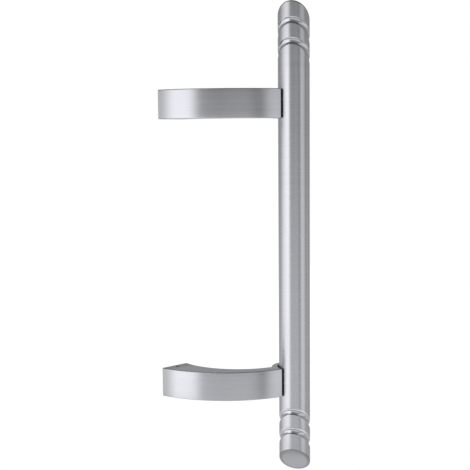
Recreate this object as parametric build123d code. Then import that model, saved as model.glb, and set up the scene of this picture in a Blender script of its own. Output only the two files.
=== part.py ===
from build123d import *
from math import atan2, cos, degrees, hypot, radians, sin, sqrt, tan
import os

# Door pull handle: a tubular grip carried to one side of its fixings by two curved arms.
# Frame: X runs along the door from the fixings towards the grip, Y runs into the door, Z is up.
# The origin lies on the face of the door, midway between the two fixings.
# Lengths are in millimetres, angles in degrees. A heading is turned from +X towards +Y.

# Layout
fixing_centres = 300.0  # from one arm to the other
offset = 93.0  # sideways, from the fixings to the axis of the grip
projection = 93.0  # from the door to the axis of the grip

# Grip tube
tube_diameter = 33.7
tube_wall = 2.6
tube_length = 480.0  # from cut to cut, the same along every line of the tube
cut_slope = 45.0  # of both ends, away from square across the tube
cut_turn = 54.0  # side to which the cuts rise, from straight out of the door towards the fixings
rim_radius = 1.0  # softened outer rim of each end
groove_pitch = 21.3  # along the tube, from the cut to a groove and on to the next
groove_count = 2  # at each end
groove_width = 7.0
groove_depth = 1.6
groove_shoulder = 0.8  # rounding of both lips of a groove

# End caps
cap_thickness = 3.0
cap_gap = 0.05  # round the cap, inside the wall

# Arms
arm_height = 31.0
door_face_width = 34.0
outer_arc_radius = 116.0
inner_arc_radius = 72.0
waist = 14.0
cradle_wall = 6.0
cradle_half_wrap = 43.5  # to each side of the line to the fixings
cradle_tip_radius = 1.5
inner_corner_radius = 1.2
arm_edge_radius = 0.8

# Saddle pads
pad_thickness = 2.0
pad_inset = 0.4  # from the outline of the cradle
pad_corner_radius = 1.0
pad_gap = 0.05  # between the pad and the metal on both sides

# Bore for the door stud, and the grub screw that clamps it
stud_bore_diameter = 12.0
stud_bore_depth = 25.0
drill_point_angle = 118.0
grub_diameter = 5.0
grub_length = 7.5
grub_from_door = 5.5
grub_clearance = 0.5  # from its tip to the stud bore
grub_chamfer = 0.6
grub_socket = 2.5  # across flats
grub_socket_depth = 2.5

# Cradle screw, and the insert that takes it
screw_diameter = 6.0
screw_length = 18.0  # over the head
screw_head_diameter = 12.0
screw_head_rim = 0.4
screw_head_sink = 1.0  # below the crown of the cradle
screw_chamfer = 0.8
screw_socket = 4.0  # across flats
screw_socket_depth = 2.4
clearance_hole_diameter = 6.6
insert_diameter = 10.0
insert_length = 9.0
insert_flange_diameter = 15.0
insert_flange_thickness = 5.0  # at its crown, under the wall
thread_gap = 0.05  # round each threaded shank
seat_gap = 0.05  # under the screw's head and round the insert

# Sizes that follow from the ones above
tube_radius = tube_diameter / 2
bore_radius = tube_radius - tube_wall
seat_radius = tube_radius + pad_thickness
cradle_radius = seat_radius + cradle_wall
grip_centre = Vector(offset, -projection)
cradle_heading = degrees(atan2(projection, -offset))
rise_heading = -90.0 - cut_turn
tool_radius = (groove_width**2 / 4 + groove_depth**2) / (2 * groove_depth)
arm_levels = {"upper": fixing_centres / 2, "lower": -fixing_centres / 2}
tube_ends = {"upper": 1, "lower": -1}


def heading_vector(heading):
    """Level direction of unit length."""
    return Vector(cos(radians(heading)), sin(radians(heading)))


def arc_centre(start, end, radius):
    """Centre of the arc that leads from start to end, on the left of the way there."""
    half_chord = (end - start) * 0.5
    rise = sqrt(radius**2 - half_chord.length**2)
    return start + half_chord + Vector(-half_chord.Y, half_chord.X).normalized() * rise


def crossing(first, first_radius, second, second_radius):
    """Point where two circles cross, on the right of the way from the first centre to the second."""
    way = second - first
    along = (way.length**2 + first_radius**2 - second_radius**2) / (2 * way.length)
    across = sqrt(first_radius**2 - along**2)
    way = way.normalized()
    return first + way * along + Vector(way.Y, -way.X) * across


def arc(centre, start, end):
    """The shorter arc round a centre from start to end."""
    crown = (start - centre + end - centre).normalized() * (start - centre).length
    return ThreePointArc(start, centre + crown, end)


def turned(*profile):
    """Solid turned about Z, from the corners of its half section as radius and height."""
    return revolve(make_face(Plane.XZ * Polyline(*profile, close=True)), Axis.Z)


def hexagon_socket(across_flats, depth, top):
    """Tool for a hexagon socket that goes down from a height on Z."""
    outline = RegularPolygon(across_flats / 2, 6, major_radius=False)
    return Pos(0, 0, top) * extrude(outline, -depth)


# Curves of the arm, seen from above: the outer arc starts square to the door at the far side of the
# door face and ends at the front of the cradle, and the inner arc leaves the near side of the door face.
door_far = Vector(-door_face_width / 2, 0)
door_near = Vector(door_face_width / 2, 0)
front_heading = cradle_heading + cradle_half_wrap
back_heading = cradle_heading - cradle_half_wrap
seat_front = grip_centre + heading_vector(front_heading) * seat_radius
seat_back = grip_centre + heading_vector(back_heading) * seat_radius
cradle_back = grip_centre + heading_vector(back_heading) * cradle_radius
outer_centre = arc_centre(door_far, seat_front, outer_arc_radius)
inner_centre = crossing(
    door_near, inner_arc_radius, outer_centre, outer_arc_radius - inner_arc_radius - waist
)
inner_corner = crossing(inner_centre, inner_arc_radius, grip_centre, cradle_radius)

# The cradle screw stands midway along the free back of the cradle, square to the tube.
corner_way = inner_corner - grip_centre
screw_heading = (back_heading + degrees(atan2(corner_way.Y, corner_way.X))) / 2
screw_frame = Plane(origin=grip_centre, x_dir=(0, 0, 1), z_dir=heading_vector(screw_heading))
head_top = cradle_radius - screw_head_sink
cone_top = head_top - screw_head_rim


def oblique_plane(level, slope):
    """Plane that crosses the axis of the tube at a level and rises to the same side as the cuts."""
    rise = heading_vector(rise_heading)
    slope = radians(slope)
    return Plane(
        origin=grip_centre + Vector(0, 0, level),
        x_dir=rise * cos(slope) + Vector(0, 0, sin(slope)),
        z_dir=rise * -sin(slope) + Vector(0, 0, cos(slope)),
    )


def oblique_bar(radius, low, high):
    """Round bar on the axis of the grip, cut obliquely at both ends between two levels."""
    spare = 2 * tube_diameter * tan(radians(cut_slope))
    bar = Pos(*grip_centre) * Pos(0, 0, (low + high) / 2) * Cylinder(radius, high - low + spare)
    bar = split(bar, bisect_by=oblique_plane(high, cut_slope), keep=Keep.BOTTOM)
    return split(bar, bisect_by=oblique_plane(low, cut_slope), keep=Keep.TOP)


def groove_tool(level):
    """Ring of round section that sinks a groove into the wall, parallel to the cuts there."""
    run_radius = tube_radius + tool_radius - groove_depth
    rise = tube_radius * tan(radians(cut_slope))
    plane = oblique_plane(level, degrees(atan2(rise, run_radius)))
    path = plane * EllipticalCenterArc((0, 0), hypot(run_radius, rise), run_radius, arc_size=360)
    section = Plane(origin=path @ 0, z_dir=path % 0) * Circle(tool_radius)
    return sweep(section, path=path)


def make_grip_tube():
    """Tube with oblique ends, their rims softened, with its ring grooves and two fixing holes."""
    half = tube_length / 2
    tube = oblique_bar(tube_radius, -half, half)
    rims = tube.faces().sort_by(Axis.Z)
    tube = fillet([rims[0].edges()[0], rims[-1].edges()[0]], rim_radius)
    for end in tube_ends.values():
        for number in range(1, groove_count + 1):
            tube -= groove_tool(end * (half - number * groove_pitch))
    lips = tube.edges().filter_by(lambda edge: abs(edge.center().Z) < half - groove_pitch / 2)
    tube = fillet(lips.filter_by(GeomType.LINE, reverse=True), groove_shoulder)
    tube -= oblique_bar(bore_radius, -half - rim_radius, half + rim_radius)
    hole = screw_frame * Cylinder(
        insert_diameter / 2 + seat_gap, tube_diameter, align=(Align.CENTER, Align.CENTER, Align.MIN)
    )
    for level in arm_levels.values():
        tube -= Pos(0, 0, level) * hole
    return tube


def make_end_cap(end):
    """Oval plate inside the wall of one end, flush with the cut."""
    half = end * tube_length / 2
    inner = half - end * cap_thickness / cos(radians(cut_slope))
    return oblique_bar(bore_radius - cap_gap, min(inner, half), max(inner, half))


def arm_plan():
    """Outline of an arm seen from above."""
    outline = [
        Line(door_near, door_far),
        arc(outer_centre, door_far, seat_front),
        arc(grip_centre, seat_front, seat_back),
        Line(seat_back, cradle_back),
        arc(grip_centre, cradle_back, inner_corner),
        arc(inner_centre, inner_corner, door_near),
    ]
    plan = make_face(outline)
    plan = fillet(plan.vertices().sort_by_distance(inner_corner)[0], inner_corner_radius)
    return fillet(plan.vertices().sort_by_distance(cradle_back)[0], cradle_tip_radius)


def stud_bore_tool():
    """Blind bore from the door face, with the cone that the drill leaves."""
    radius = stud_bore_diameter / 2
    tip = radius / tan(radians(drill_point_angle / 2))
    corners = (0, 0), (radius, 0), (radius, stud_bore_depth), (0, stud_bore_depth + tip)
    return Plane.XZ * turned(*corners)


def cradle_screw_tool():
    """Clearance hole and countersink through the wall of the cradle."""
    hole = clearance_hole_diameter / 2
    head = screw_head_diameter / 2 + seat_gap
    corners = (
        (0, bore_radius),
        (hole, bore_radius),
        (hole, cone_top - (head - hole)),
        (head, cone_top),
        (head, cradle_radius + screw_head_sink),
        (0, cradle_radius + screw_head_sink),
    )
    return screw_frame * turned(*corners)


def lies_outside(rim):
    """Whether a rim of the arm is neither on its door face nor on the seat of its cradle."""
    middle = Vector(rim.position_at(0.5).X, rim.position_at(0.5).Y)
    return middle.Y < -arm_edge_radius and (middle - grip_centre).length > seat_radius + arm_edge_radius


def make_bracket():
    """Curved arm at mid level: door face, waist and cradle, with its bore and screw holes."""
    arm = extrude(arm_plan(), arm_height / 2, both=True)
    arm = fillet(arm.faces().filter_by(Axis.Z).edges().filter_by(lies_outside), arm_edge_radius)
    grub_hole = Pos(0, -grub_from_door) * Cylinder(
        grub_diameter / 2, arm_height, align=(Align.CENTER, Align.CENTER, Align.MIN)
    )
    return arm - stud_bore_tool() - grub_hole - cradle_screw_tool()


def make_saddle_pad():
    """Thin pad bent to the tube, inside the outline of the cradle, with a hole for the screw."""
    inner = tube_radius + pad_gap
    outer = seat_radius - pad_gap
    inset = degrees(pad_inset / seat_radius)
    front = heading_vector(front_heading - inset)
    back = heading_vector(back_heading + inset)
    outline = [
        arc(grip_centre, grip_centre + front * inner, grip_centre + back * inner),
        Line(grip_centre + back * inner, grip_centre + back * outer),
        arc(grip_centre, grip_centre + back * outer, grip_centre + front * outer),
        Line(grip_centre + front * outer, grip_centre + front * inner),
    ]
    pad = extrude(make_face(outline), arm_height / 2 - pad_inset, both=True)
    corners = pad.faces().filter_by(Axis.Z).edges().filter_by(GeomType.LINE)
    pad = fillet(corners, pad_corner_radius)
    return pad - screw_frame * Cylinder(clearance_hole_diameter / 2, 2 * cradle_radius)


def make_cradle_screw():
    """Countersunk socket screw, head towards the door."""
    shank = screw_diameter / 2
    head = screw_head_diameter / 2
    tip = head_top - screw_length
    corners = (
        (0, tip),
        (shank - screw_chamfer, tip),
        (shank, tip + screw_chamfer),
        (shank, cone_top - (head - shank)),
        (head, cone_top),
        (head, head_top),
        (0, head_top),
    )
    return screw_frame * (turned(*corners) - hexagon_socket(screw_socket, screw_socket_depth, head_top))


def make_tube_insert():
    """Threaded bush through the wall of the tube, with a flange against its bore."""
    sleeve_radius = insert_diameter / 2
    bush_end = tube_radius - insert_length
    flange_end = bore_radius - insert_flange_thickness
    thread = screw_diameter / 2 + thread_gap
    sleeve = screw_frame * turned(
        (thread, bush_end), (sleeve_radius, bush_end), (sleeve_radius, tube_diameter), (thread, tube_diameter)
    )
    flange = screw_frame * turned(
        (thread, flange_end),
        (insert_flange_diameter / 2, flange_end),
        (insert_flange_diameter / 2, tube_diameter),
        (thread, tube_diameter),
    )
    outside = Pos(*grip_centre) * Cylinder(tube_radius, fixing_centres)
    inside = Pos(*grip_centre) * Cylinder(bore_radius - seat_gap, fixing_centres)
    return (sleeve & outside) + (flange & inside)


def make_grub_screw():
    """Socket set screw, upright in the arm, its tip just clear of the stud bore."""
    radius = grub_diameter / 2 - thread_gap
    tip = stud_bore_diameter / 2 + grub_clearance
    top = tip + grub_length
    corners = (
        (0, tip),
        (radius - grub_chamfer, tip),
        (radius, tip + grub_chamfer),
        (radius, top),
        (0, top),
    )
    grub = turned(*corners) - hexagon_socket(grub_socket, grub_socket_depth, top)
    return Pos(0, -grub_from_door) * grub


def write(name, shape):
    """Write one piece to its own file."""
    export_step(shape, os.path.join("parts", name + ".step"))


os.makedirs("parts", exist_ok=True)
write("grip_tube", make_grip_tube())
for place, end in tube_ends.items():
    write(place + "_end_cap", make_end_cap(end))
arm_pieces = {
    "bracket": make_bracket(),
    "saddle_pad": make_saddle_pad(),
    "cradle_screw": make_cradle_screw(),
    "tube_insert": make_tube_insert(),
    "grub_screw": make_grub_screw(),
}
for place, level in arm_levels.items():
    for name, shape in arm_pieces.items():
        write(place + "_" + name, Pos(0, 0, level) * shape)
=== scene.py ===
# %% [markdown]
# # A tubular door pull handle
# Two curved arms carry an upright steel tube out from a door and to one side of its fixings. The tube
# ends in oblique cuts, with two ring grooves next to each cut. Everything is satin stainless steel,
# apart from the black pads between the arms and the tube.
#
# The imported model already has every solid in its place. This script gives the solids their finish,
# makes the grooved tube again as a finer mesh, and sets up the light and the camera.

from math import cos, pi, radians, sin, tan

import bmesh
import bpy
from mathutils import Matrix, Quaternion, Vector


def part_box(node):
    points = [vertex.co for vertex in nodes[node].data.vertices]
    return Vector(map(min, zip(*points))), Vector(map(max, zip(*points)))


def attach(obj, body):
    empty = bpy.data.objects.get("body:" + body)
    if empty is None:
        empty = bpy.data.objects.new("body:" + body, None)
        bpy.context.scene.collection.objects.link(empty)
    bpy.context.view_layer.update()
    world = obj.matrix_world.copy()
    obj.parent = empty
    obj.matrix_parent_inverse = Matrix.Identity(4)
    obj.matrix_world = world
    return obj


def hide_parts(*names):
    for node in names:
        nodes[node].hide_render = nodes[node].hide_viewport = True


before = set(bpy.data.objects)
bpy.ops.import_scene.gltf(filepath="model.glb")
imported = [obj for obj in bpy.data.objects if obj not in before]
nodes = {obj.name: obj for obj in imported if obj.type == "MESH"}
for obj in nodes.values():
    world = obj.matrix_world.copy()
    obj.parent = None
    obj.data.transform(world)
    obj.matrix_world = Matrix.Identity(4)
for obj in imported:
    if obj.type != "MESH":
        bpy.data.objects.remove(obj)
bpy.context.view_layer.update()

# %% [markdown]
# ## Camera
# The camera stands about a metre away, a little above the middle of the handle, and looks at the door
# from one side. It could be aimed with a constraint, but an angle written down is easier to compare
# with a photograph: a heading, how far the camera looks down, and how far it leans.

# %% Camera
camera_place = Vector((-0.6335, -0.8250, 0.1168))
view_heading = radians(48.757)  # from +X towards +Y
view_drop = radians(5.92)
view_lean = radians(-0.51)
focal_length = 73.62

camera = bpy.data.objects.new("camera", bpy.data.cameras.new("camera"))
bpy.context.collection.objects.link(camera)
forward = Vector((
    cos(view_heading) * cos(view_drop),
    sin(view_heading) * cos(view_drop),
    -sin(view_drop),
))
camera.location = camera_place
camera.rotation_mode = "QUATERNION"
camera.rotation_quaternion = forward.to_track_quat("-Z", "Y") @ Quaternion((0, 0, 1), view_lean)
camera.data.lens = focal_length
bpy.context.scene.camera = camera
bpy.context.scene.view_settings.view_transform = "Standard"
print("camera to the middle of the door fixings:", round(camera_place.length, 3), "m")

# %% [markdown]
# ## Working with nodes
# Every material and every rule for a shape below is a small tree of nodes. A few helpers keep those
# trees short to write. The first three make a node, feed a socket with a link or a plain value, and do
# a sum. The others are the few small jobs that come back in many trees: a value that passes from
# nought to one between two limits, a blend of two colours, a longer or shorter vector, and the place
# of a point on its object.

# %% Node helpers
def node(tree, kind, **settings):
    """A new node, with its properties set."""
    made = tree.nodes.new(kind)
    for key, value in settings.items():
        setattr(made, key, value)
    return made


def feed(tree, socket, value):
    """Link a socket to another one, or set it to a plain value."""
    if isinstance(value, bpy.types.NodeSocket):
        tree.links.new(value, socket)
    else:
        socket.default_value = value


def math_node(tree, operation, *values):
    """A math node fed by sockets or numbers, and its result."""
    made = node(tree, "ShaderNodeMath", operation=operation)
    for slot, value in enumerate(values):
        feed(tree, made.inputs[slot], value)
    return made.outputs[0]


def passing(tree, value, low, high, interpolation="SMOOTHSTEP"):
    """Nought to one as a value passes from low to high."""
    passed = node(tree, "ShaderNodeMapRange", interpolation_type=interpolation)
    feed(tree, passed.inputs["Value"], value)
    passed.inputs["From Min"].default_value = low
    passed.inputs["From Max"].default_value = high
    return passed.outputs["Result"]


def tones(tree, mask, low, high):
    """A colour that goes from one tone to another with a mask."""
    mix = node(tree, "ShaderNodeMix", data_type="RGBA")
    feed(tree, mix.inputs["Factor"], mask)
    feed(tree, mix.inputs["A"], low)
    feed(tree, mix.inputs["B"], high)
    return mix.outputs["Result"]


def scaled(tree, vector, factor):
    """A vector or a colour, times a factor."""
    made = node(tree, "ShaderNodeVectorMath", operation="SCALE")
    feed(tree, made.inputs[0], vector)
    feed(tree, made.inputs["Scale"], factor)
    return made.outputs[0]


def object_place(tree):
    """Place of a point on its object, as one vector."""
    return node(tree, "ShaderNodeTexCoord").outputs["Object"]


def split_place(tree):
    """Place of a point on its object, as outputs X, Y and Z."""
    split = node(tree, "ShaderNodeSeparateXYZ")
    feed(tree, split.inputs[0], object_place(tree))
    return split.outputs


# %% [markdown]
# ## Starting a material and a mesh
# The things round the handle, such as its floor, are plain meshes with a glow or a matt paint. Their
# materials start from an empty tree, because none of them needs the full shader that Blender gives.

# %% Material and mesh helpers
def grey(level):
    """A grey of one level."""
    return (level, level, level, 1)


def bare_material(name):
    """A new material with an empty tree."""
    material = bpy.data.materials.new(name)
    material.use_nodes = True
    material.node_tree.nodes.clear()
    return material


def end_tree(tree, shader):
    """Let a shader be the surface of a material."""
    feed(tree, node(tree, "ShaderNodeOutputMaterial").inputs["Surface"], shader)


def glow_only(material, colour):
    """End a material's tree in a plain glow."""
    tree = material.node_tree
    glow = node(tree, "ShaderNodeEmission")
    feed(tree, glow.inputs["Color"], colour)
    end_tree(tree, glow.outputs[0])
    return material


def mesh_object(name, corners, faces, material):
    """A new object in the scene from corners and faces."""
    mesh = bpy.data.meshes.new(name)
    mesh.from_pydata(corners, [], faces)
    mesh.materials.append(material)
    made = bpy.data.objects.new(name, mesh)
    bpy.context.collection.objects.link(made)
    return made


# %% [markdown]
# ## World
# The handle is seen against plain white. The world is white to the camera, and also to rays that leave
# polished metal or pass through glass, as a real backdrop would be. Matt surfaces get a plain, slightly
# lower light from it.

# %% World
background_level = 1.0
ambient_level = 0.9


def bright_rays(tree):
    """One for rays that look straight, through glass or in a mirror, and nought for the rest."""
    rays = node(tree, "ShaderNodeLightPath")
    seen = math_node(tree, "MAXIMUM", rays.outputs["Is Camera Ray"], rays.outputs["Is Glossy Ray"])
    return math_node(tree, "MAXIMUM", seen, rays.outputs["Is Transmission Ray"])


world = bpy.data.worlds.new("studio")
bpy.context.scene.world = world
world.use_nodes = True
sky = world.node_tree
sky.nodes.clear()
background = node(sky, "ShaderNodeBackground")
background.inputs["Color"].default_value = grey(1.0)
spare = background_level - ambient_level
level = math_node(sky, "MULTIPLY_ADD", bright_rays(sky), spare, ambient_level)
feed(sky, background.inputs["Strength"], level)
feed(sky, node(sky, "ShaderNodeOutputWorld").inputs["Surface"], background.outputs[0])
print("world: background", background_level, "ambient", ambient_level)

# %% [markdown]
# ## Light tent
# Satin steel shows what stands round it. The long stripes on the tube are mirror images of bright and
# dark panels, so they are made as a photographer makes them: with a tent of cloth panels round the
# handle, lighter where a lamp stands behind them. One lamp for each stripe would do it too, but a
# stripe's edges are easier to place on a panel. Each panel has a lower and an upper level, because the
# lower part of the handle looks brighter than the upper part.

# %% Panels of the tent
tent_radius = 1.9
tent_low, tent_high = -1.13, 1.3
tent_centre = Vector((0.05, -0.05, 0.0))
fold_low, fold_high = -0.22, 0.15  # between these heights the lower half passes into the upper

# Each panel: its heading from the one towards the camera, in degrees with the left of the picture
# negative, and the brightness of its lower and its upper half.
panels = [
    (-180, 0.58, 0.55),
    (-138, 0.54, 0.38),
    (-122, 0.62, 0.44),
    (-106, 0.90, 0.56),
    (-90, 1.26, 1.00),
    (-78, 1.42, 1.24),
    (-66, 1.52, 1.44),
    (-58, 1.62, 1.62),
    (-41, 1.60, 1.62),
    (-30, 0.76, 0.44),
    (-20, 0.77, 0.37),
    (-6, 0.76, 0.33),
    (4, 0.77, 0.39),
    (24, 0.77, 0.41),
    (33, 0.62, 0.31),
    (39, 0.34, 0.29),
    (51, 1.02, 0.80),
    (66, 1.00, 0.76),
    (78, 0.90, 0.62),
    (86, 0.52, 0.32),
    (96, 0.50, 0.38),
    (110, 0.70, 0.50),
    (124, 0.42, 0.36),
    (180, 0.58, 0.55),
]
towards_camera = view_heading - pi
print("tent:", len(panels), "panels, radius", tent_radius, "m")

# %% [markdown]
# ## Cloth of the tent
# The cloth is one material. It works out in which direction a point lies from the middle of the tent,
# and looks up the brightness on two colour ramps, one for the lower half and one for the upper. The
# seams between panels are soft, because a ramp blends from each stop to the next.

# %% Cloth of the tent
def level_ramp(tree, share, levels):
    """Brightness from a colour ramp with one stop for each pair of a share and a level."""
    ramp = node(tree, "ShaderNodeValToRGB")
    stops = ramp.color_ramp.elements
    while len(stops) < len(levels):
        stops.new(0.5)
    for stop, (place, level) in zip(stops, levels):
        stop.position = place
        stop.color = grey(level)
    feed(tree, ramp.inputs[0], share)
    return ramp.outputs["Color"]


def turn_share(tree, place):
    """Share of a whole turn round the tent, one half at the side of the camera."""
    across = math_node(tree, "SUBTRACT", place["X"], tent_centre.x)
    away = math_node(tree, "SUBTRACT", place["Y"], tent_centre.y)
    heading = math_node(tree, "ARCTAN2", away, across)
    turned = math_node(tree, "SUBTRACT", heading, towards_camera)
    return math_node(tree, "MULTIPLY_ADD", math_node(tree, "WRAP", turned, pi, -pi), 1 / (2 * pi), 0.5)


tent_cloth = bare_material("tent_cloth")
cloth_tree = tent_cloth.node_tree
place = split_place(cloth_tree)
share = turn_share(cloth_tree, place)
lower = level_ramp(cloth_tree, share, [(heading / 360 + 0.5, low) for heading, low, high in panels])
upper = level_ramp(cloth_tree, share, [(heading / 360 + 0.5, high) for heading, low, high in panels])
fold = passing(cloth_tree, place["Z"], fold_low, fold_high)
glow_only(tent_cloth, tones(cloth_tree, fold, lower, upper))
print("tent cloth:", len(cloth_tree.nodes), "nodes")

# %% [markdown]
# ## Walls and ceiling of the tent
# One cylinder of cloth is enough for the walls, and a dim round cloth closes it at the top. Both are
# there for light and reflections only, so the camera doesn't see them.

# %% Walls and ceiling of the tent
tent_sides = 96
ceiling_level = 0.15

ring_turns = [2 * pi * side / tent_sides for side in range(tent_sides)]
tent_corners = [
    (tent_centre.x + tent_radius * cos(turn), tent_centre.y + tent_radius * sin(turn), height)
    for height in (tent_low, tent_high) for turn in ring_turns
]
tent_faces = [
    (side, (side + 1) % tent_sides, (side + 1) % tent_sides + tent_sides, side + tent_sides)
    for side in range(tent_sides)
]
ceiling_cloth = glow_only(bare_material("ceiling_cloth"), grey(ceiling_level))
tent = mesh_object("tent", tent_corners, tent_faces, tent_cloth)
ceiling = mesh_object("ceiling", tent_corners[tent_sides:], [tuple(range(tent_sides))], ceiling_cloth)
for cloth in (tent, ceiling):
    cloth.visible_camera = False
print("tent walls:", len(tent_faces), "faces from", tent_low, "to", tent_high, "m")

# %% [markdown]
# ## Cloths on the floor
# Steel that faces a little downwards mirrors the floor. Cloths lie there, and only the steel sees them:
# a light one right under the handle, a dark one between the handle and the camera, and a light one
# beyond that. Together they give each ring groove a bright line above a dark one, and the lower edge of
# each arm a little more light. A floor painted in these tones would show them to the camera as well.

# %% Cloths on the floor
cloth_height = -1.14
cloth_steps = 12
dark_level, light_level, far_level = 0.38, 1.3, 0.95


def floor_cloth(name, level, near, far, spread):
    """A sector of cloth that glows evenly: its two radii, and its half angle from the camera's side."""
    turns = [towards_camera + spread * (2 * step / cloth_steps - 1) for step in range(cloth_steps + 1)]
    corners = [
        (tent_centre.x + radius * cos(turn), tent_centre.y + radius * sin(turn), cloth_height)
        for radius in (near, far) for turn in turns
    ]
    row = cloth_steps + 1
    faces = [(step, step + 1, step + 1 + row, step + row) for step in range(cloth_steps)]
    cloth = mesh_object(name, corners, faces, glow_only(bare_material(name), grey(level)))
    cloth.visible_camera = False
    cloth.visible_diffuse = False
    cloth.visible_shadow = False
    print(name, "from", near, "to", far, "m, level", level)


floor_cloth("dark_cloth", dark_level, near=0.70, far=1.35, spread=radians(55.0))
floor_cloth("light_cloth", light_level, near=0.01, far=0.60, spread=radians(180.0))
floor_cloth("far_cloth", far_level, near=1.40, far=1.85, spread=radians(55.0))

# %% [markdown]
# ## Floor
# A pale floor lies well below the handle. It is lit by the world and the tent, and adds just enough
# white of its own to reach the background's level. More would spill over the outline of the handle,
# because a pixel that is half background and half steel would come out white as well.

# %% Floor
floor_level = -1.15
floor_size = 12.0
floor_white = 0.85
floor_glow = 0.31


def floor_paint():
    """Matt white that joins the background, and still takes the handle's shadow."""
    material = bare_material("floor_paint")
    tree = material.node_tree
    matt = node(tree, "ShaderNodeBsdfDiffuse")
    matt.inputs["Color"].default_value = grey(floor_white)
    glow = node(tree, "ShaderNodeEmission")
    glow.inputs["Color"].default_value = grey(1.0)
    feed(tree, glow.inputs["Strength"], math_node(tree, "MULTIPLY", bright_rays(tree), floor_glow))
    both = node(tree, "ShaderNodeAddShader")
    feed(tree, both.inputs[0], matt.outputs[0])
    feed(tree, both.inputs[1], glow.outputs[0])
    end_tree(tree, both.outputs[0])
    return material


reach = floor_size / 2
floor_corners = [(x * reach, y * reach, floor_level) for x, y in ((-1, -1), (1, -1), (1, 1), (-1, 1))]
floor = mesh_object("floor", floor_corners, [(0, 1, 2, 3)], floor_paint())
print("floor at", floor_level, "m")

# %% [markdown]
# ## Scratches
# Satin steel is metal with fine parallel scratches. They can be drawn as stripes in the colour, but the
# real ones work through the gloss: across the scratches a reflection smears, and along them it stays
# sharp. The shader's anisotropy does that, once its tangent follows the scratches. This group adds what
# anisotropy can't: the single lines that show from close by, and the broad, soft unevenness that hand
# polishing leaves. Every steel below uses it, each with its own line spacing.

# %% Scratch group
line_roughness = 0.65
cloud_size = 0.035


def noise(tree, place, scale, detail=2.0, roughness=0.5):
    """Noise at a place, and its height from nought to one."""
    made = node(tree, "ShaderNodeTexNoise")
    made.inputs["Scale"].default_value = scale
    made.inputs["Detail"].default_value = detail
    made.inputs["Roughness"].default_value = roughness
    feed(tree, made.inputs["Vector"], place)
    return made.outputs["Fac"]


def scratch_group():
    """Fine lines that run round an upright axis, and soft clouds."""
    group = bpy.data.node_groups.new("scratches", "ShaderNodeTree")
    face = group.interface
    face.new_socket("Place", in_out="INPUT", socket_type="NodeSocketVector")
    face.new_socket("Lines per metre", in_out="INPUT", socket_type="NodeSocketFloat")
    face.new_socket("Strokes per metre", in_out="INPUT", socket_type="NodeSocketFloat")
    for name in ("Lines", "Clouds"):
        face.new_socket(name, in_out="OUTPUT", socket_type="NodeSocketFloat")
    start = node(group, "NodeGroupInput")
    end = node(group, "NodeGroupOutput")
    scale = node(group, "ShaderNodeCombineXYZ")
    for axis in ("X", "Y"):
        feed(group, scale.inputs[axis], start.outputs["Strokes per metre"])
    feed(group, scale.inputs["Z"], start.outputs["Lines per metre"])
    stretched = node(group, "ShaderNodeVectorMath", operation="MULTIPLY")
    feed(group, stretched.inputs[0], start.outputs["Place"])
    feed(group, stretched.inputs[1], scale.outputs[0])
    lines = noise(group, stretched.outputs[0], scale=1.0, detail=3.0, roughness=line_roughness)
    feed(group, end.inputs["Lines"], lines)
    feed(group, end.inputs["Clouds"], noise(group, start.outputs["Place"], scale=1 / cloud_size))
    return group


scratches = scratch_group()
print("scratch group:", len(scratches.nodes), "nodes")

# %% [markdown]
# ## Steel
# The tube is turned and polished, so its scratches run round it. The arms are ground along their curve,
# so theirs run round the centre of the arm's outer arc. Both are one function: the tangent is the level
# direction square to the line from the axis. The lines of the scratch group change the colour, the gloss
# and the relief a little, and its clouds the colour alone.

# %% Steel
steel_colour = (0.557, 0.561, 0.599)
line_contrast = 0.10
cloud_contrast = 0.02
gloss_spread = 0.05
scratch_depth = 0.000004
quarter_turn = 0.25  # the shader smears along its tangent, and has to smear across the scratches


def tinted(colour, share):
    """A colour made lighter by a share."""
    return tuple(value * (1 + share) for value in colour) + (1,)


def spread(tree, mask, middle, width):
    """A value that swings about its middle with a mask."""
    return math_node(tree, "MULTIPLY_ADD", mask, 2 * width, middle - width)


def round_tangent(tree, place, axis):
    """Direction of the scratches round an upright axis."""
    outward = node(tree, "ShaderNodeVectorMath", operation="SUBTRACT")
    feed(tree, outward.inputs[0], place)
    outward.inputs[1].default_value = (*axis, 0.0)
    along = node(tree, "ShaderNodeVectorMath", operation="CROSS_PRODUCT")
    along.inputs[0].default_value = (0, 0, 1)
    feed(tree, along.inputs[1], outward.outputs[0])
    return along.outputs[0]


def steel(name, colour, axis, roughness, lines, strokes, anisotropy, crown=None):
    """Satin steel whose scratches run round an upright axis, on a face that may be slightly crowned."""
    material = bpy.data.materials.new(name)
    material.use_nodes = True
    tree = material.node_tree
    shader = tree.nodes["Principled BSDF"]
    place = object_place(tree)
    marks = node(tree, "ShaderNodeGroup", node_tree=scratches)
    marks.inputs["Lines per metre"].default_value = lines
    marks.inputs["Strokes per metre"].default_value = strokes
    feed(tree, marks.inputs["Place"], place)
    line = marks.outputs["Lines"]
    lined = tones(tree, line, tinted(colour, -line_contrast), tinted(colour, line_contrast))
    haze = spread(tree, marks.outputs["Clouds"], 1.0, cloud_contrast)
    feed(tree, shader.inputs["Base Color"], scaled(tree, lined, haze))
    feed(tree, shader.inputs["Roughness"], spread(tree, line, roughness, gloss_spread))
    relief = node(tree, "ShaderNodeBump")
    relief.inputs["Distance"].default_value = scratch_depth
    feed(tree, relief.inputs["Height"], line)
    if crown:
        feed(tree, relief.inputs["Normal"], crown(tree))
    feed(tree, shader.inputs["Normal"], relief.outputs["Normal"])
    shader.inputs["Metallic"].default_value = 1.0
    shader.inputs["Anisotropic"].default_value = anisotropy
    shader.inputs["Anisotropic Rotation"].default_value = quarter_turn
    feed(tree, shader.inputs["Tangent"], round_tangent(tree, place, axis))
    print(name, "has", len(tree.nodes), "nodes")
    return material


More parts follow.
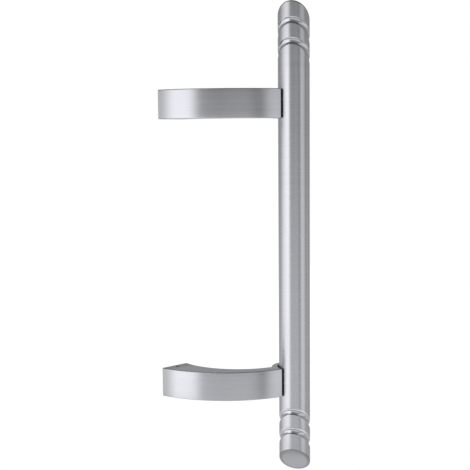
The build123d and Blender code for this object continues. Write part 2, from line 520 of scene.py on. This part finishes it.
# %% [markdown]
# ## Where the steel changes
# No real piece has one finish all over. These helpers change a finished steel in one region: a mask
# says where, and the socket passes there from what fed it so far to a new value. A second material for
# each region would leave a hard edge between the two. A mask can come from the place on the object, or
# from a number that the mesh keeps on its points.

# %% Change a steel in one region
def fed_by(socket):
    """What a socket is fed by so far: the end of a link, or its plain value."""
    return socket.links[0].from_socket if socket.is_linked else socket.default_value


def change_where(tree, mask, socket, wanted):
    """Pass from what feeds a number's socket to another value with a mask."""
    mix = node(tree, "ShaderNodeMix", data_type="FLOAT")
    feed(tree, mix.inputs["Factor"], mask)
    feed(tree, mix.inputs["A"], fed_by(socket))
    feed(tree, mix.inputs["B"], wanted)
    feed(tree, socket, mix.outputs["Result"])


def recolour_where(tree, mask, shader, wanted):
    """Pass from a shader's colour so far to another one with a mask."""
    socket = shader.inputs["Base Color"]
    feed(tree, socket, tones(tree, mask, fed_by(socket), (*wanted, 1)))


def kept_number(tree, name):
    """A number that the mesh keeps on its points."""
    return node(tree, "ShaderNodeAttribute", attribute_name=name).outputs["Fac"]


def from_middle(tree):
    """Distance of a point from the level of the handle's middle."""
    return math_node(tree, "ABSOLUTE", split_place(tree)["Z"])


# %% [markdown]
# ## Steel of the tube
# Towards its ends the tube is a little rougher than along the grip, where the polishing belt passes
# most, and its colour is a little darker there. The rolled rings are smoother than the rest, and the
# rims and the cut faces are left as the grinding wheel leaves them, without a direction. Their colour
# is darker too, which is painted shade along the dark rim round each end. The mesh of the tube, made
# further down, keeps two numbers that show where those are: how deep a point is sunk in a ring, and the
# order of its row, which is nought along the wall and one or more on the rim and inside the bore.

# %% Steel of the tube
ends_from, ends_to = 0.170, 0.240  # distances from the middle of the handle's height
end_roughness, end_darkening = 0.10, 0.06  # added to the roughness, and taken off the colour
polish_depth, ring_roughness = 0.00015, 0.16
rim_start = 0.97  # share of the way from the wall's last row to the rim's first
# The second value is the colour of the painted shade on the rims, the cut faces and the caps.
cut_roughness, rim_shade_colour = 0.30, (0.19, 0.191, 0.205)


def darken_and_roughen_ends(tree, shader):
    """Make the steel rougher and darker towards the ends, and keep its lines."""
    towards_end = passing(tree, from_middle(tree), ends_from, ends_to, "LINEAR")
    roughness, colour = shader.inputs["Roughness"], shader.inputs["Base Color"]
    feed(tree, roughness, math_node(tree, "MULTIPLY_ADD", towards_end, end_roughness, fed_by(roughness)))
    shade = math_node(tree, "MULTIPLY_ADD", towards_end, -end_darkening, 1.0)
    feed(tree, colour, scaled(tree, fed_by(colour), shade))


def finish_rings_and_shade_cuts(tree, shader):
    """Polish the sunk rings, leave the rims and the cut faces without a direction, and paint shade on
    them.
    """
    sunk = passing(tree, kept_number(tree, "sunk"), 0.0, polish_depth)
    change_where(tree, sunk, shader.inputs["Roughness"], ring_roughness)
    cut = passing(tree, kept_number(tree, "order"), rim_start, 1.0)
    change_where(tree, cut, shader.inputs["Roughness"], cut_roughness)
    either = math_node(tree, "MAXIMUM", sunk, cut)
    change_where(tree, either, shader.inputs["Anisotropic"], 0.0)
    # Painted shade: the rims and the cut faces take a darker colour.
    recolour_where(tree, cut, shader, rim_shade_colour)


grip_low, grip_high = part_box("grip_tube")
grip_axis = Vector(((grip_low.x + grip_high.x) / 2, (grip_low.y + grip_high.y) / 2))
grip_steel = steel(
    "grip_steel", steel_colour, grip_axis, roughness=0.28, lines=900, strokes=14, anisotropy=0.7
)
grip_tree = grip_steel.node_tree
darken_and_roughen_ends(grip_tree, grip_tree.nodes["Principled BSDF"])
finish_rings_and_shade_cuts(grip_tree, grip_tree.nodes["Principled BSDF"])
print("grip axis at", [round(value, 4) for value in grip_axis])

# %% [markdown]
# ## Steel of the arms
# Hand polishing turns the edges of a flat face a little, so an arm's upright face isn't quite straight
# from top to bottom: it mirrors a higher part of the tent near its upper edge and a lower part near its
# lower edge. The turn is far too slight for the solid, so a bump with a smooth rule makes it. Next to
# the door the arm's colour is darker: painted shade of the corner against the door.

# %% Steel of the arms
arm_axis = Vector((0.0970, 0.0212))  # centre of the outer arc in plan
arm_level, arm_height = 0.150, 0.031
crown_turn, crown_power = radians(5.0), 3.0  # how far a face turns at its edges, and how late
door_shade_from, door_shade_to = -0.020, -0.003  # places on the way to the door
# colour of the painted shade next to the door
door_shade_colour = (0.37, 0.372, 0.39)


def arm_crown(tree):
    """Normal of an arm's face, straight in the middle of its height and turned at its edges."""
    above = math_node(tree, "SUBTRACT", from_middle(tree), arm_level)
    share = math_node(tree, "DIVIDE", above, arm_height / 2)
    bend = math_node(tree, "POWER", math_node(tree, "ABSOLUTE", share), crown_power)
    drop = tan(crown_turn) * arm_height / (2 * crown_power)
    fall = node(tree, "ShaderNodeBump")
    fall.inputs["Distance"].default_value = 1.0
    feed(tree, fall.inputs["Height"], math_node(tree, "MULTIPLY", bend, -drop))
    return fall.outputs["Normal"]


arm_steel = steel(
    "arm_steel", steel_colour, arm_axis, roughness=0.29, lines=600, strokes=9, anisotropy=0.8,
    crown=arm_crown,
)
arm_tree = arm_steel.node_tree
# Painted shade: the arm's colour darkens towards the door.
door_shade = passing(arm_tree, split_place(arm_tree)["Y"], door_shade_from, door_shade_to)
recolour_where(arm_tree, door_shade, arm_tree.nodes["Principled BSDF"], door_shade_colour)
print("arms curve round", [round(value, 4) for value in arm_axis])

# %% [markdown]
# ## Steel of the end caps
# The caps are ground flush with the tube, so they are darker than the polished steel and have no
# direction. Painted shade darkens them further near their rim, and over the part next to the short
# side of the tube. A plain dark grey would look like paint, and the two soft regions keep it metal.

# %% Steel of the end caps
cut_colour = (0.272, 0.275, 0.297)
cap_middle, cap_edge = 0.0115, 0.0165  # distances from the axis
shade_from, shade_to = 0.2225, 0.2385  # distances from the middle of the handle's height


def from_axis(tree, axis):
    """Distance of a point from an upright axis."""
    outward = node(tree, "ShaderNodeVectorMath", operation="SUBTRACT")
    feed(tree, outward.inputs[0], object_place(tree))
    outward.inputs[1].default_value = (*axis, 0.0)
    level = node(tree, "ShaderNodeVectorMath", operation="MULTIPLY")
    feed(tree, level.inputs[0], outward.outputs[0])
    level.inputs[1].default_value = (1, 1, 0)
    distance = node(tree, "ShaderNodeVectorMath", operation="LENGTH")
    feed(tree, distance.inputs[0], level.outputs[0])
    return distance.outputs["Value"]


cap_steel = steel(
    "cap_steel", cut_colour, grip_axis, roughness=cut_roughness, lines=900, strokes=400,
    anisotropy=0.0,
)
cap_tree = cap_steel.node_tree
# Painted shade: the caps' colour darkens near their rim and towards the short side of the tube.
near_rim = passing(cap_tree, from_axis(cap_tree, grip_axis), cap_middle, cap_edge)
far_side = passing(cap_tree, from_middle(cap_tree), shade_from, shade_to)
shade = math_node(cap_tree, "MAXIMUM", near_rim, math_node(cap_tree, "SUBTRACT", 1.0, far_side))
recolour_where(cap_tree, shade, cap_tree.nodes["Principled BSDF"], rim_shade_colour)
print("caps darken from", cap_middle, "m off the axis")

# %% [markdown]
# ## Machined steel
# The screws and the inserts are turned parts, darker than the polished ones and with a plain gloss. They
# are only seen from behind or down in a hole, so short, even tool marks without a direction are enough.

# %% Screws and inserts
screw_colour = (0.40, 0.405, 0.42)

screw_steel = steel(
    "screw_steel", screw_colour, grip_axis, roughness=0.30, lines=3000, strokes=1500, anisotropy=0.0
)

# %% [markdown]
# ## Rubber
# The pads that keep the arms off the tube are moulded rubber, matt black and slightly grained. Only
# their edges show, as a dark line beside the tube. A fine bump breaks up the little gloss that rubber
# has, and a plain black would do from further away.

# %% Rubber
rubber_grains = 2200.0
rubber_relief = 0.00003
rubber_dark, rubber_light = (0.014, 0.014, 0.016, 1), (0.03, 0.03, 0.033, 1)
rubber_roughness, rubber_spread = 0.68, 0.1

rubber = bpy.data.materials.new("pad_rubber")
rubber.use_nodes = True
skin = rubber.node_tree
matt = skin.nodes["Principled BSDF"]
grain = noise(skin, object_place(skin), rubber_grains)
feed(skin, matt.inputs["Base Color"], tones(skin, grain, rubber_dark, rubber_light))
feed(skin, matt.inputs["Roughness"], spread(skin, grain, rubber_roughness, rubber_spread))
dimples = node(skin, "ShaderNodeBump")
dimples.inputs["Distance"].default_value = rubber_relief
feed(skin, dimples.inputs["Height"], grain)
feed(skin, matt.inputs["Normal"], dimples.outputs["Normal"])
print("rubber:", rubber_grains, "grains per metre")

# %% [markdown]
# ## Finish of each solid
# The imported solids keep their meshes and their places. Only the material in each one's slot changes. The
# upper and the lower pieces are made alike, so the end of a node's name is enough to choose by.

# %% Finish of each solid
finishes = {
    "grip_tube": grip_steel,
    "end_cap": cap_steel,
    "bracket": arm_steel,
    "saddle_pad": rubber,
    "cradle_screw": screw_steel,
    "tube_insert": screw_steel,
    "grub_screw": screw_steel,
}
for name, piece in nodes.items():
    kind = next(kind for kind in finishes if name.endswith(kind))
    piece.material_slots[0].material = finishes[kind]
    print(name, "has", finishes[kind].name)

# %% [markdown]
# ## Grip tube
# The grip is a steel tube, cut obliquely at both ends. Next to each cut two rings are rolled into the
# wall, parallel to the cut. They could be cut with one boolean each, but that leaves uneven faces round
# the rings, and polished metal shows every uneven face. A rule is cleaner: the whole tube is a set of
# rows that run round it, and each row knows its distance from the axis, its level and how deep it is
# sunk. Geometry Nodes make the rows as points, join them into one closed profile, sweep that round a
# circle, and move each vertex to its place, where all rows lean as the cuts do.
#
# The sizes become named inputs of the tree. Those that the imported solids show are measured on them, and
# the others are the sizes of the rings and rims.

# %% Sizes of the tube
cap_low, cap_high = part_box("upper_end_cap")
cap_gap = 0.00005
cut_slope = radians(45.0)
rim_radius = 0.001
wall_radius = (grip_high.x - grip_low.x) / 2
tip_level = (wall_radius - rim_radius) * tan(cut_slope) + rim_radius - rim_radius / cos(cut_slope)
tube_sizes = {
    "Radius": wall_radius,
    "Bore radius": (cap_high.x - cap_low.x) / 2 + cap_gap,
    "Half length": grip_high.z - tip_level,
    "Slope": tan(cut_slope),
    "Rise heading": radians(-144.0),
    "Rim radius": rim_radius,
    "Bore rim": 0.0002,
    "Groove count": 2,
    "Groove pitch": 0.0213,
    "Groove width": 0.0070,
    "Groove depth": 0.0016,
    "Groove shoulder": 0.0008,
    "Facets": 224,
}
print({name: round(value, 5) for name, value in tube_sizes.items()})

# %% [markdown]
# ## Sums in a tree
# The rule for the tube is a page of sums. A math node for each would hide it, so a small class lets a
# number from the tree stand in a formula as any other number does. A number can also be kept on the
# points under a name, and be read again further down the tree or by a material.

# %% Sums in a tree
class Number:
    """A number in a node tree, used in sums as a plain number would be."""

    def __init__(self, tree, source):
        self.tree, self.source = tree, source

    def work(self, operation, *others):
        """Result of a math node whose first number is this one."""
        sources = [other.source if isinstance(other, Number) else other for other in others]
        return Number(self.tree, math_node(self.tree, operation, self.source, *sources))

    def __add__(self, other):
        return self.work("ADD", other)

    def __sub__(self, other):
        return self.work("SUBTRACT", other)

    def __mul__(self, other):
        return self.work("MULTIPLY", other)

    def __truediv__(self, other):
        return self.work("DIVIDE", other)

    def root(self):
        """Square root."""
        return self.work("SQRT")


def stored(tree, shape, **values):
    """The shape, with numbers kept on its points under their names."""
    for name, value in values.items():
        keep = node(tree, "GeometryNodeStoreNamedAttribute", data_type="FLOAT", domain="POINT")
        feed(tree, keep.inputs["Geometry"], shape)
        keep.inputs["Name"].default_value = name
        feed(tree, keep.inputs["Value"], value.source)
        shape = keep.outputs["Geometry"]
    return shape


def recalled(tree, name):
    """A number that was kept on the points."""
    kept = node(tree, "GeometryNodeInputNamedAttribute", data_type="FLOAT")
    kept.inputs["Name"].default_value = name
    return Number(tree, kept.outputs["Attribute"])


def triple(tree, *numbers):
    """A vector from three numbers."""
    made = node(tree, "ShaderNodeCombineXYZ")
    for slot, number in enumerate(numbers):
        feed(tree, made.inputs[slot], number.source if isinstance(number, Number) else number)
    return made.outputs[0]


# %% [markdown]
# ## Points that stand for rows
# A point's three coordinates aren't a place in space yet. The first is the distance of its row from the
# axis, the second is how far the row lies across from the middle of its ring, and the third is its
# level on the axis. As points they are cheap to copy, so one ring can be used for every groove, and one
# end for both ends of the tube.

# %% Points that stand for rows
def index_in(tree):
    """Number of a point in its set, from nought."""
    return Number(tree, node(tree, "GeometryNodeInputIndex").outputs[0])


def rows(tree, count, base, across, level):
    """Points that stand for rows: distance from the axis, place across a ring, and level."""
    points = node(tree, "GeometryNodePoints")
    feed(tree, points.inputs["Count"], count.source if isinstance(count, Number) else count)
    feed(tree, points.inputs["Position"], triple(tree, base, across, level))
    return points.outputs[0]


def copies(tree, shape, points, scale=None):
    """A copy of a shape on each point, made real."""
    made = node(tree, "GeometryNodeInstanceOnPoints")
    feed(tree, made.inputs["Points"], points)
    feed(tree, made.inputs["Instance"], shape)
    if scale:
        feed(tree, made.inputs["Scale"], scale)
    real = node(tree, "GeometryNodeRealizeInstances")
    feed(tree, real.inputs[0], made.outputs[0])
    return real.outputs[0]


def joined(tree, *shapes):
    """Several sets of points as one."""
    made = node(tree, "GeometryNodeJoinGeometry")
    for shape in reversed(shapes):
        feed(tree, made.inputs[0], shape)
    return made.outputs[0]


# %% [markdown]
# ## Rows of a ring groove
# A groove is a round bowl between two rounded lips. Three circles that touch describe it, so each row
# only has to know whether it lies in the bowl or on a lip to find how deep it is sunk. The rows stand
# closer together towards the lips, where the wall turns fastest, because they follow a sine.

# %% Rows of a ring groove
groove_rows = 33


def ring_rows(tree, sizes):
    """Rows across one groove, each with how far it is sunk."""
    width, depth, lip = (sizes["Groove " + name] for name in ("width", "depth", "shoulder"))
    bowl = (width * width / 4 + depth * depth) / (depth * 2)
    floor_way = bowl - depth
    outer = ((bowl + lip) * (bowl + lip) - (floor_way + lip) * (floor_way + lip)).root()
    share = index_in(tree) / (groove_rows - 1)
    across = (share * pi - pi / 2).work("SINE") * outer
    away = across.work("ABSOLUTE")
    in_bowl = away.work("LESS_THAN", outer * bowl / (bowl + lip))
    rest = outer - away
    sunk_in_bowl = (bowl * bowl - away * away).root() - floor_way
    sunk_at_lip = lip - (lip * lip - rest * rest).root()
    sunk = sunk_at_lip + in_bowl * (sunk_in_bowl - sunk_at_lip)
    made = node(tree, "GeometryNodePoints")
    feed(tree, made.inputs["Count"], groove_rows)
    kept = stored(tree, made.outputs[0], sunk=sunk)
    move = node(tree, "GeometryNodeSetPosition")
    feed(tree, move.inputs["Geometry"], kept)
    feed(tree, move.inputs["Position"], triple(tree, sizes["Radius"], across, 0.0))
    return move.outputs["Geometry"]


print("rows across a groove:", groove_rows)

# %% [markdown]
# ## Rows of an end
# An end has its grooves, the rounded rim and the bevelled edge of the bore. The rim's rows share one
# place and a ball round it: how far a row has turned in over the ball is kept as a number, and the
# wall's rule uses it later. The number for the order tells the profile which row follows which.

# %% Rows of an end
rim_rows = 9


def end_rows(tree, sizes):
    """Rows of the upper end, with levels counted from the cut: grooves, rim, and edge of the bore."""
    rim, bore, edge = sizes["Rim radius"], sizes["Bore radius"], sizes["Bore rim"]
    lean = (sizes["Slope"] * sizes["Slope"] + 1).root()
    groove_level = (index_in(tree) + 1) * sizes["Groove pitch"] * -1
    spots = rows(tree, sizes["Groove count"], 0.0, 0.0, groove_level)
    grooves = copies(tree, ring_rows(tree, sizes), spots)
    share = index_in(tree) / (rim_rows - 1)
    rounding = rows(tree, rim_rows, sizes["Radius"] - rim, 0.0, rim * lean * -1)
    rounding = stored(tree, rounding, ball=rim, turned_in=share, order=share + 1)
    step = index_in(tree)
    bore_edge = rows(tree, 2, bore + edge - step * edge, 0.0, step * edge * -1)
    bore_edge = stored(tree, bore_edge, order=step + 3)
    return joined(tree, grooves, rounding, bore_edge)


print("rows round a rim:", rim_rows)

# %% [markdown]
# ## Profile of the tube
# The two ends are one set of rows, copied upright and upside down, with plain rows between them. All
# the points then become one line, sorted by a weight: their level, and past the grooves their order.
# The line is closed through the bore, so the tube gets its inner wall and both cut faces at once.

# %% Profile of the tube
middle_rows = 9
plain_from = 0.6  # groove pitches from the last groove to the plain rows


def profile(tree, sizes):
    """All rows of the tube, joined in their order to one closed line."""
    half = sizes["Half length"]
    side = index_in(tree) * 2 - 1
    both_ends = rows(tree, 2, 0.0, 0.0, side * half)
    ends = copies(tree, end_rows(tree, sizes), both_ends, triple(tree, 1.0, 1.0, side))
    plain = half - (sizes["Groove count"] + plain_from) * sizes["Groove pitch"]
    share = index_in(tree) / (middle_rows - 1)
    middle = rows(tree, middle_rows, sizes["Radius"], 0.0, (share * 2 - 1) * plain)
    place = node(tree, "ShaderNodeSeparateXYZ")
    feed(tree, place.inputs[0], node(tree, "GeometryNodeInputPosition").outputs[0])
    base, across, level = (Number(tree, place.outputs[axis]) for axis in "XYZ")
    line = node(tree, "GeometryNodePointsToCurves")
    feed(tree, line.inputs["Points"], joined(tree, ends, middle))
    weight = level + across + level.work("SIGN") * recalled(tree, "order")
    feed(tree, line.inputs["Weight"], weight.source)
    closed = node(tree, "GeometryNodeSetSplineCyclic")
    feed(tree, closed.inputs[0], stored(tree, line.outputs[0], base=base, across=across, level=level))
    closed.inputs["Cyclic"].default_value = True
    return closed.outputs[0]


print("plain rows:", middle_rows)

# %% [markdown]
# ## Wall of the tube
# Once the line is swept, each vertex knows its row's numbers and how far round the axis it is. The cut
# is a plane, so a row that follows it rises and falls with the cosine of the turn. The width of a ring
# is measured square to the ring, so along the axis it stretches where the ring slopes. On the rim, the
# vertex is pushed out from the ball's middle in a direction that goes from the wall's to the cut's.

# %% Wall of the tube
def wall_place(tree, sizes, turn):
    """Place of a vertex from what its row knows and how far round the axis it is."""
    slope, rise = sizes["Slope"], sizes["Rise heading"]
    base, across, level = (recalled(tree, name) for name in ("base", "across", "level"))
    from_rise = turn - rise
    fall = slope * from_rise.work("SINE")
    stretch = (fall * fall + 1).root()
    height = level + slope * base * from_rise.work("COSINE") + across * stretch
    reach = base - recalled(tree, "sunk")
    out_x, out_y = turn.work("COSINE"), turn.work("SINE")
    wall = triple(tree, reach * out_x + grip_axis.x, reach * out_y + grip_axis.y, height)
    lean = (slope * slope + 1).root()
    side = level.work("SIGN")
    share = recalled(tree, "turned_in")
    cut_x, cut_y = (side * slope * rise.work(wave) / lean * -1 for wave in ("COSINE", "SINE"))
    push_x = out_x + share * (cut_x - out_x)
    push_y = out_y + share * (cut_y - out_y)
    unit = node(tree, "ShaderNodeVectorMath", operation="NORMALIZE")
    feed(tree, unit.inputs[0], triple(tree, push_x, push_y, share * side / lean))
    place = node(tree, "ShaderNodeVectorMath", operation="ADD")
    feed(tree, place.inputs[0], wall)
    feed(tree, place.inputs[1], scaled(tree, unit.outputs[0], recalled(tree, "ball").source))
    return place.outputs[0]


# %% [markdown]
# ## Shading of the tube
# A swept tube is smooth, but not over the edges of the bore. Shading all of it smooth would smear the
# light over those edges. A modifier that shades by angle would be one more thing to apply, so the tree
# itself marks each edge that turns by more than a crease.

# %% Shading of the tube
crease = radians(35.0)


def smooth(tree, shape):
    """Smooth shading, but for edges that turn by more than the crease."""
    soft = node(tree, "GeometryNodeSetShadeSmooth")
    feed(tree, soft.inputs[0], shape)
    turn = Number(tree, node(tree, "GeometryNodeInputMeshEdgeAngle").outputs["Unsigned Angle"])
    hard = node(tree, "GeometryNodeSetShadeSmooth", domain="EDGE")
    feed(tree, hard.inputs[0], soft.outputs[0])
    feed(tree, hard.inputs["Selection"], turn.work("GREATER_THAN", crease).source)
    hard.inputs["Shade Smooth"].default_value = False
    return hard.outputs[0]


print("edges stay sharp from", round(crease, 3), "radians")

# %% [markdown]
# ## Tree of the tube
# The tree puts the parts together. The sweep runs round a circle whose points keep their turn. Its
# faces come out pointing inwards and are flipped before the vertices move. Realize Instances and Set
# Material close the tree, so that the result is a plain mesh with its steel.

# %% Tree of the tube
def new_tube_tree():
    """Tree that builds the whole tube from its named sizes."""
    tree = bpy.data.node_groups.new("oblique_ringed_tube", "GeometryNodeTree")
    tree.interface.new_socket("Geometry", in_out="OUTPUT", socket_type="NodeSocketGeometry")
    for name, value in tube_sizes.items():
        kind = "NodeSocketInt" if isinstance(value, int) else "NodeSocketFloat"
        tree.interface.new_socket(name, in_out="INPUT", socket_type=kind)
    tree.interface.new_socket("Finish", in_out="INPUT", socket_type="NodeSocketMaterial")
    start = node(tree, "NodeGroupInput").outputs
    sizes = {name: Number(tree, start[name]) for name in tube_sizes}
    circle = node(tree, "GeometryNodeCurvePrimitiveCircle")
    feed(tree, circle.inputs["Resolution"], start["Facets"])
    turn = index_in(tree) / sizes["Facets"] * (2 * pi)
    sweep = node(tree, "GeometryNodeCurveToMesh")
    feed(tree, sweep.inputs["Curve"], stored(tree, circle.outputs[0], turn=turn))
    feed(tree, sweep.inputs["Profile Curve"], profile(tree, sizes))
    outward = node(tree, "GeometryNodeFlipFaces")
    feed(tree, outward.inputs[0], sweep.outputs[0])
    move = node(tree, "GeometryNodeSetPosition")
    feed(tree, move.inputs["Geometry"], outward.outputs[0])
    feed(tree, move.inputs["Position"], wall_place(tree, sizes, recalled(tree, "turn")))
    real = node(tree, "GeometryNodeRealizeInstances")
    feed(tree, real.inputs[0], smooth(tree, move.outputs[0]))
    finish = node(tree, "GeometryNodeSetMaterial")
    feed(tree, finish.inputs["Geometry"], real.outputs[0])
    feed(tree, finish.inputs["Material"], start["Finish"])
    feed(tree, node(tree, "NodeGroupOutput").inputs[0], finish.outputs[0])
    return tree


tube_tree = new_tube_tree()
print("tube tree:", len(tube_tree.nodes), "nodes")

# %% [markdown]
# ## Build the tube
# The tree runs once, on an empty mesh, as a modifier whose inputs are set by their identifiers. The
# result is taken as a plain mesh and the modifier goes, because the export wants finished meshes. A
# closed mesh whose volume is above nought has all its faces pointing outwards, so both are printed. The
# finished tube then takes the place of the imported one.

# %% Build the tube
cubic_mm = 1e9  # in a cubic metre


def built(name, tree, values):
    """Object with the plain mesh that a tree builds from its inputs."""
    piece = mesh_object(name, [], [], None)
    maker = piece.modifiers.new(name, "NODES")
    maker.node_group = tree
    for socket in tree.interface.items_tree:
        if socket.in_out == "INPUT":
            maker[socket.identifier] = values[socket.name]
    result = piece.evaluated_get(bpy.context.evaluated_depsgraph_get())
    mesh = bpy.data.meshes.new_from_object(result)
    piece.modifiers.remove(maker)
    piece.data = mesh
    return piece


tube = built("ringed_tube", tube_tree, {**tube_sizes, "Finish": grip_steel})
check = bmesh.new()
check.from_mesh(tube.data)
open_edges = sum(not edge.is_manifold for edge in check.edges)
volume = check.calc_volume(signed=True) * cubic_mm
check.free()
print("tube:", len(tube.data.polygons), "faces, open edges", open_edges, "volume", round(volume), "mm3")
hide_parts("grip_tube")
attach(tube, "root")
